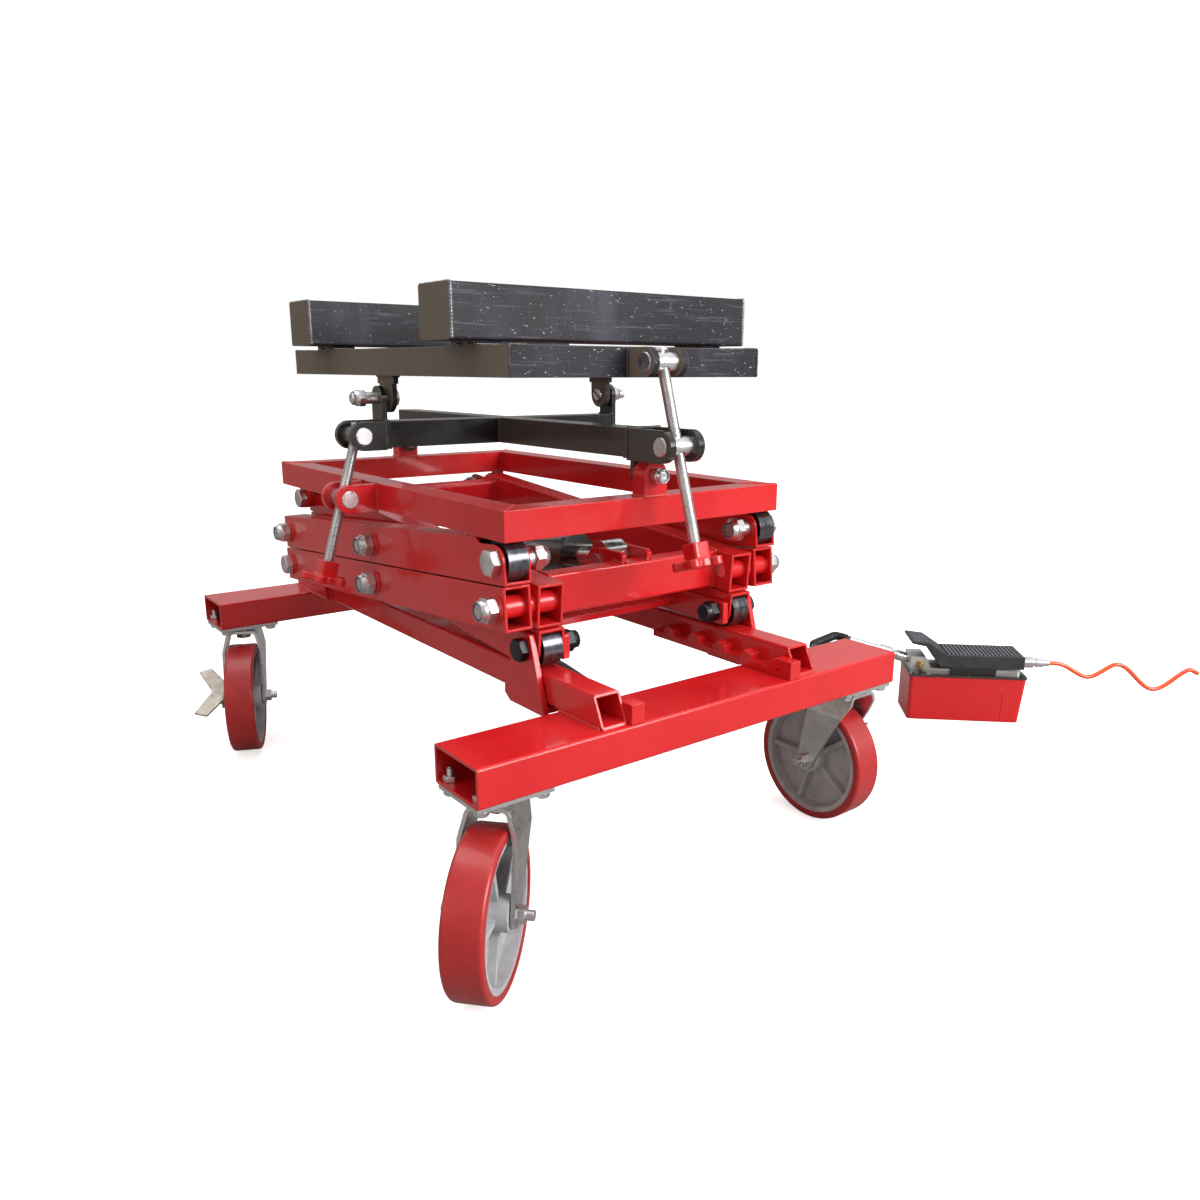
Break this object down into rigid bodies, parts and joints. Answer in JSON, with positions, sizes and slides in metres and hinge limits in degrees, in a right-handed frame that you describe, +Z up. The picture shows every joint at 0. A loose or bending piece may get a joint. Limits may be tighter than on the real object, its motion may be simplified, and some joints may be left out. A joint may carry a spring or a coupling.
{
  "type": "scissor lift table",
  "caption": "Rolling double scissor lift table with a tilting two-bar load bed, screw tilt adjusters, swivel casters and an air-hydraulic foot pump.",
  "frame": {"origin": "on the floor, at the middle of the bounding box of the whole set, foot pump and air hose included", "axes": "+Z up, +Y from the front of the table to its rear, +X to the right towards the foot pump"},
  "size_m": [1.7494, 1.2272, 0.82],
  "materials": {
    "red_paint": "gloss",
    "black_paint": "gloss",
    "zinc_hardware": "satin",
    "bright_steel": "polished",
    "black_oxide": "satin",
    "roller_steel": "satin",
    "cast_grey": "satin",
    "red_tyre": "satin",
    "pedal_steel": "satin",
    "black_shell": "matte",
    "pump_aluminium": "satin",
    "brass": "satin",
    "hose_rubber": "matte",
    "orange_hose": "gloss"
  },
  "bodies": {
    "base": {"base_frame": "red_paint", "lock_racks": "red_paint", "base_pivot_bolts": "zinc_hardware", "caster_plates": "zinc_hardware", "caster_bolts": "zinc_hardware", "ram_base_pin": "zinc_hardware", "hydraulic_hose": "hose_rubber", "hose_guard": "black_oxide", "hose_couplers": "zinc_hardware", "air_hose": "orange_hose", "pump_reservoir": "red_paint", "pump_cover": "black_paint", "pump_valve_head": "pump_aluminium", "pump_brass_plug": "brass"},
    "lower_outer": {"lower_outer_legs": "red_paint", "lower_leg_bolts": "zinc_hardware"},
    "lower_inner": {"lower_inner_legs": "red_paint"},
    "upper_inner": {"upper_inner_legs": "red_paint", "ram_head_pin": "zinc_hardware"},
    "upper_outer": {"upper_outer_legs": "red_paint", "upper_leg_bolts": "zinc_hardware"},
    "top": {"top_frame": "red_paint", "top_pivot_bolts": "zinc_hardware"},
    "carriage": {"carriage_keepers": "red_paint", "carriage_bolts": "black_oxide"},
    "lock": {"lock_frame": "red_paint"},
    "ram_body": {"ram_barrel": "black_paint", "ram_gland": "black_paint"},
    "ram_slider": {"ram_rod": "bright_steel"},
    "cross": {"tilt_cross": "black_paint", "tilt_pivot_bolts": "zinc_hardware"},
    "table": {"table_frame": "black_paint", "load_tubes": "black_paint"},
    "roll_top_pin": {"roll_screw_top_pin": "zinc_hardware"},
    "roll_trunnion": {"roll_screw_trunnion": "zinc_hardware"},
    "roll_screw": {"roll_screw_rod": "zinc_hardware", "roll_screw_knob": "red_paint"},
    "pitch_top_pin": {"pitch_screw_top_pin": "zinc_hardware"},
    "pitch_trunnion": {"pitch_screw_trunnion": "zinc_hardware"},
    "pitch_screw": {"pitch_screw_rod": "zinc_hardware", "pitch_screw_knob": "red_paint"},
    "treadle": {"pump_treadle": "black_shell"},
    "roller_upper_left": {"upper_roller_left": "roller_steel"},
    "roller_upper_right": {"upper_roller_right": "roller_steel"},
    "roller_lower_left": {"lower_roller_left": "roller_steel"},
    "roller_lower_right": {"lower_roller_right": "roller_steel"},
    "swivel_front_left": {"fork_front_left": "zinc_hardware"},
    "wheel_front_left": {"wheel_centre_front_left": "cast_grey", "tyre_front_left": "red_tyre"},
    "swivel_front_right": {"fork_front_right": "zinc_hardware"},
    "wheel_front_right": {"wheel_centre_front_right": "cast_grey", "tyre_front_right": "red_tyre"},
    "pedal_front_right": {"brake_pedal_front_right": "pedal_steel"},
    "swivel_rear_left": {"fork_rear_left": "zinc_hardware"},
    "wheel_rear_left": {"wheel_centre_rear_left": "cast_grey", "tyre_rear_left": "red_tyre"},
    "pedal_rear_left": {"brake_pedal_rear_left": "pedal_steel"},
    "swivel_rear_right": {"fork_rear_right": "zinc_hardware"},
    "wheel_rear_right": {"wheel_centre_rear_right": "cast_grey", "tyre_rear_right": "red_tyre"}
  },
  "joints": [
    {"name": "lift", "type": "hinge", "parent": "base", "child": "lower_outer", "pos_m": [-0.4331, 0.3905, 0.3575], "axis": [-1, 0, 0], "range_deg": [0, 36]},
    {"name": "lower_centre_pivot", "type": "hinge", "parent": "lower_outer", "child": "lower_inner", "pos_m": [-0.4331, 0.02174, 0.38775], "axis": [1, 0, 0], "range_deg": [0, 72]},
    {"name": "front_middle_pivot", "type": "hinge", "parent": "lower_outer", "child": "upper_inner", "pos_m": [-0.4331, -0.34702, 0.418], "axis": [1, 0, 0], "range_deg": [0, 72]},
    {"name": "upper_centre_pivot", "type": "hinge", "parent": "upper_inner", "child": "upper_outer", "pos_m": [-0.4331, 0.02174, 0.44825], "axis": [-1, 0, 0], "range_deg": [0, 72]},
    {"name": "top_rear_pivot", "type": "hinge", "parent": "upper_inner", "child": "top", "pos_m": [-0.4331, 0.3905, 0.4785], "axis": [-1, 0, 0], "range_deg": [0, 36]},
    {"name": "carriage_level", "type": "hinge", "parent": "lower_inner", "child": "carriage", "pos_m": [-0.4331, -0.34702, 0.3575], "axis": [-1, 0, 0], "range_deg": [0, 36]},
    {"name": "lock_swing", "type": "hinge", "parent": "carriage", "child": "lock", "pos_m": [-0.4331, -0.34702, 0.3575], "axis": [1, 0, 0], "range_deg": [0, 12]},
    {"name": "ram_swing", "type": "hinge", "parent": "base", "child": "ram_body", "pos_m": [-0.4331, 0.3805, 0.3575], "axis": [-1, 0, 0], "range_deg": [0, 40]},
    {"name": "ram_stroke", "type": "slide", "parent": "ram_body", "child": "ram_slider", "axis": [0, -0.9909, 0.1345], "range_m": [0, 0.0815]},
    {"name": "roll_tilt", "type": "hinge", "parent": "top", "child": "cross", "pos_m": [-0.4331, 0.0215, 0.574], "axis": [0, 1, 0], "range_deg": [-6, 6]},
    {"name": "pitch_tilt", "type": "hinge", "parent": "cross", "child": "table", "pos_m": [-0.4331, 0.0215, 0.671], "axis": [1, 0, 0], "range_deg": [-5, 5]},
    {"name": "roll_pin_turn", "type": "hinge", "parent": "cross", "child": "roll_top_pin", "pos_m": [-0.6921, 0.0215, 0.616], "axis": [0, 1, 0], "range_deg": [-8.2, 8.2]},
    {"name": "roll_nut_turn", "type": "hinge", "parent": "top", "child": "roll_trunnion", "pos_m": [-0.7197, 0.0215, 0.524], "axis": [0, 1, 0], "range_deg": [-2.2, 2.2]},
    {"name": "pitch_pin_turn", "type": "hinge", "parent": "table", "child": "pitch_top_pin", "pos_m": [-0.4331, -0.3815, 0.724], "axis": [1, 0, 0], "range_deg": [-8.1, 8.1]},
    {"name": "pitch_nut_turn", "type": "hinge", "parent": "cross", "child": "pitch_trunnion", "pos_m": [-0.4331, -0.415, 0.616], "axis": [1, 0, 0], "range_deg": [-3.1, 3.1]},
    {"name": "roll_screw_spin", "type": "hinge", "parent": "roll_top_pin", "child": "roll_screw", "pos_m": [-0.6921, 0.0215, 0.616], "axis": [-0.2873, 0, -0.9578], "continuous": true},
    {"name": "pitch_screw_spin", "type": "hinge", "parent": "pitch_top_pin", "child": "pitch_screw", "pos_m": [-0.4331, -0.3815, 0.724], "axis": [0, -0.2963, -0.9551], "continuous": true},
    {"name": "upper_roller_left_spin", "type": "hinge", "parent": "upper_outer", "child": "roller_upper_left", "pos_m": [-0.6561, -0.34702, 0.4785], "axis": [1, 0, 0], "continuous": true},
    {"name": "upper_roller_right_spin", "type": "hinge", "parent": "upper_outer", "child": "roller_upper_right", "pos_m": [-0.2101, -0.34702, 0.4785], "axis": [1, 0, 0], "continuous": true},
    {"name": "lower_roller_left_spin", "type": "hinge", "parent": "carriage", "child": "roller_lower_left", "pos_m": [-0.6061, -0.34702, 0.3575], "axis": [1, 0, 0], "continuous": true},
    {"name": "lower_roller_right_spin", "type": "hinge", "parent": "carriage", "child": "roller_lower_right", "pos_m": [-0.2601, -0.34702, 0.3575], "axis": [1, 0, 0], "continuous": true},
    {"name": "swivel_front_left_turn", "type": "hinge", "parent": "base", "child": "swivel_front_left", "pos_m": [-0.7511, -0.465, 0.15], "axis": [0, 0, 1], "continuous": true},
    {"name": "wheel_front_left_spin", "type": "hinge", "parent": "swivel_front_left", "child": "wheel_front_left", "pos_m": [-0.78454, -0.49511, 0.1016], "axis": [-0.6691, 0.7431, 0], "continuous": true},
    {"name": "swivel_front_right_turn", "type": "hinge", "parent": "base", "child": "swivel_front_right", "pos_m": [-0.1151, -0.465, 0.15], "axis": [0, 0, 1], "continuous": true},
    {"name": "wheel_front_right_spin", "type": "hinge", "parent": "swivel_front_right", "child": "wheel_front_right", "pos_m": [-0.1151, -0.42, 0.1016], "axis": [1, 0, 0], "continuous": true},
    {"name": "pedal_front_right_rock", "type": "hinge", "parent": "swivel_front_right", "child": "pedal_front_right", "pos_m": [-0.1151, -0.42, 0.1016], "axis": [1, 0, 0], "range_deg": [-12, 12]},
    {"name": "swivel_rear_left_turn", "type": "hinge", "parent": "base", "child": "swivel_rear_left", "pos_m": [-0.7511, 0.476, 0.15], "axis": [0, 0, 1], "continuous": true},
    {"name": "wheel_rear_left_spin", "type": "hinge", "parent": "swivel_rear_left", "child": "wheel_rear_left", "pos_m": [-0.7694, 0.43489, 0.1016], "axis": [-0.9135, 0.4067, 0], "continuous": true},
    {"name": "pedal_rear_left_rock", "type": "hinge", "parent": "swivel_rear_left", "child": "pedal_rear_left", "pos_m": [-0.7694, 0.43489, 0.1016], "axis": [-0.9135, 0.4067, 0], "range_deg": [-12, 12]},
    {"name": "swivel_rear_right_turn", "type": "hinge", "parent": "base", "child": "swivel_rear_right", "pos_m": [-0.1151, 0.476, 0.15], "axis": [0, 0, 1], "continuous": true},
    {"name": "wheel_rear_right_spin", "type": "hinge", "parent": "swivel_rear_right", "child": "wheel_rear_right", "pos_m": [-0.0926, 0.51497, 0.1016], "axis": [0.866, -0.5, 0], "continuous": true},
    {"name": "treadle_rock", "type": "hinge", "parent": "base", "child": "treadle", "pos_m": [0.51229, -0.30039, 0.118], "axis": [0.6947, 0.7193, 0], "range_deg": [-4, 4]}
  ],
  "couplings": [
    {"joint": "lower_centre_pivot", "follows": "lift", "ratio": 2},
    {"joint": "front_middle_pivot", "follows": "lift", "ratio": 2},
    {"joint": "upper_centre_pivot", "follows": "lift", "ratio": 2},
    {"joint": "top_rear_pivot", "follows": "lift", "ratio": 1},
    {"joint": "carriage_level", "follows": "lift", "ratio": 1},
    {"joint": "ram_swing", "follows": "lift", "ratio": 1.1085},
    {"joint": "ram_stroke", "follows": "lift", "m_per_rad": 0.129},
    {"joint": "roll_pin_turn", "follows": "roll_tilt", "ratio": -1.3545},
    {"joint": "roll_nut_turn", "follows": "roll_tilt", "ratio": -0.3545},
    {"joint": "pitch_pin_turn", "follows": "pitch_tilt", "ratio": -1.6055},
    {"joint": "pitch_nut_turn", "follows": "pitch_tilt", "ratio": -0.6055}
  ]
}
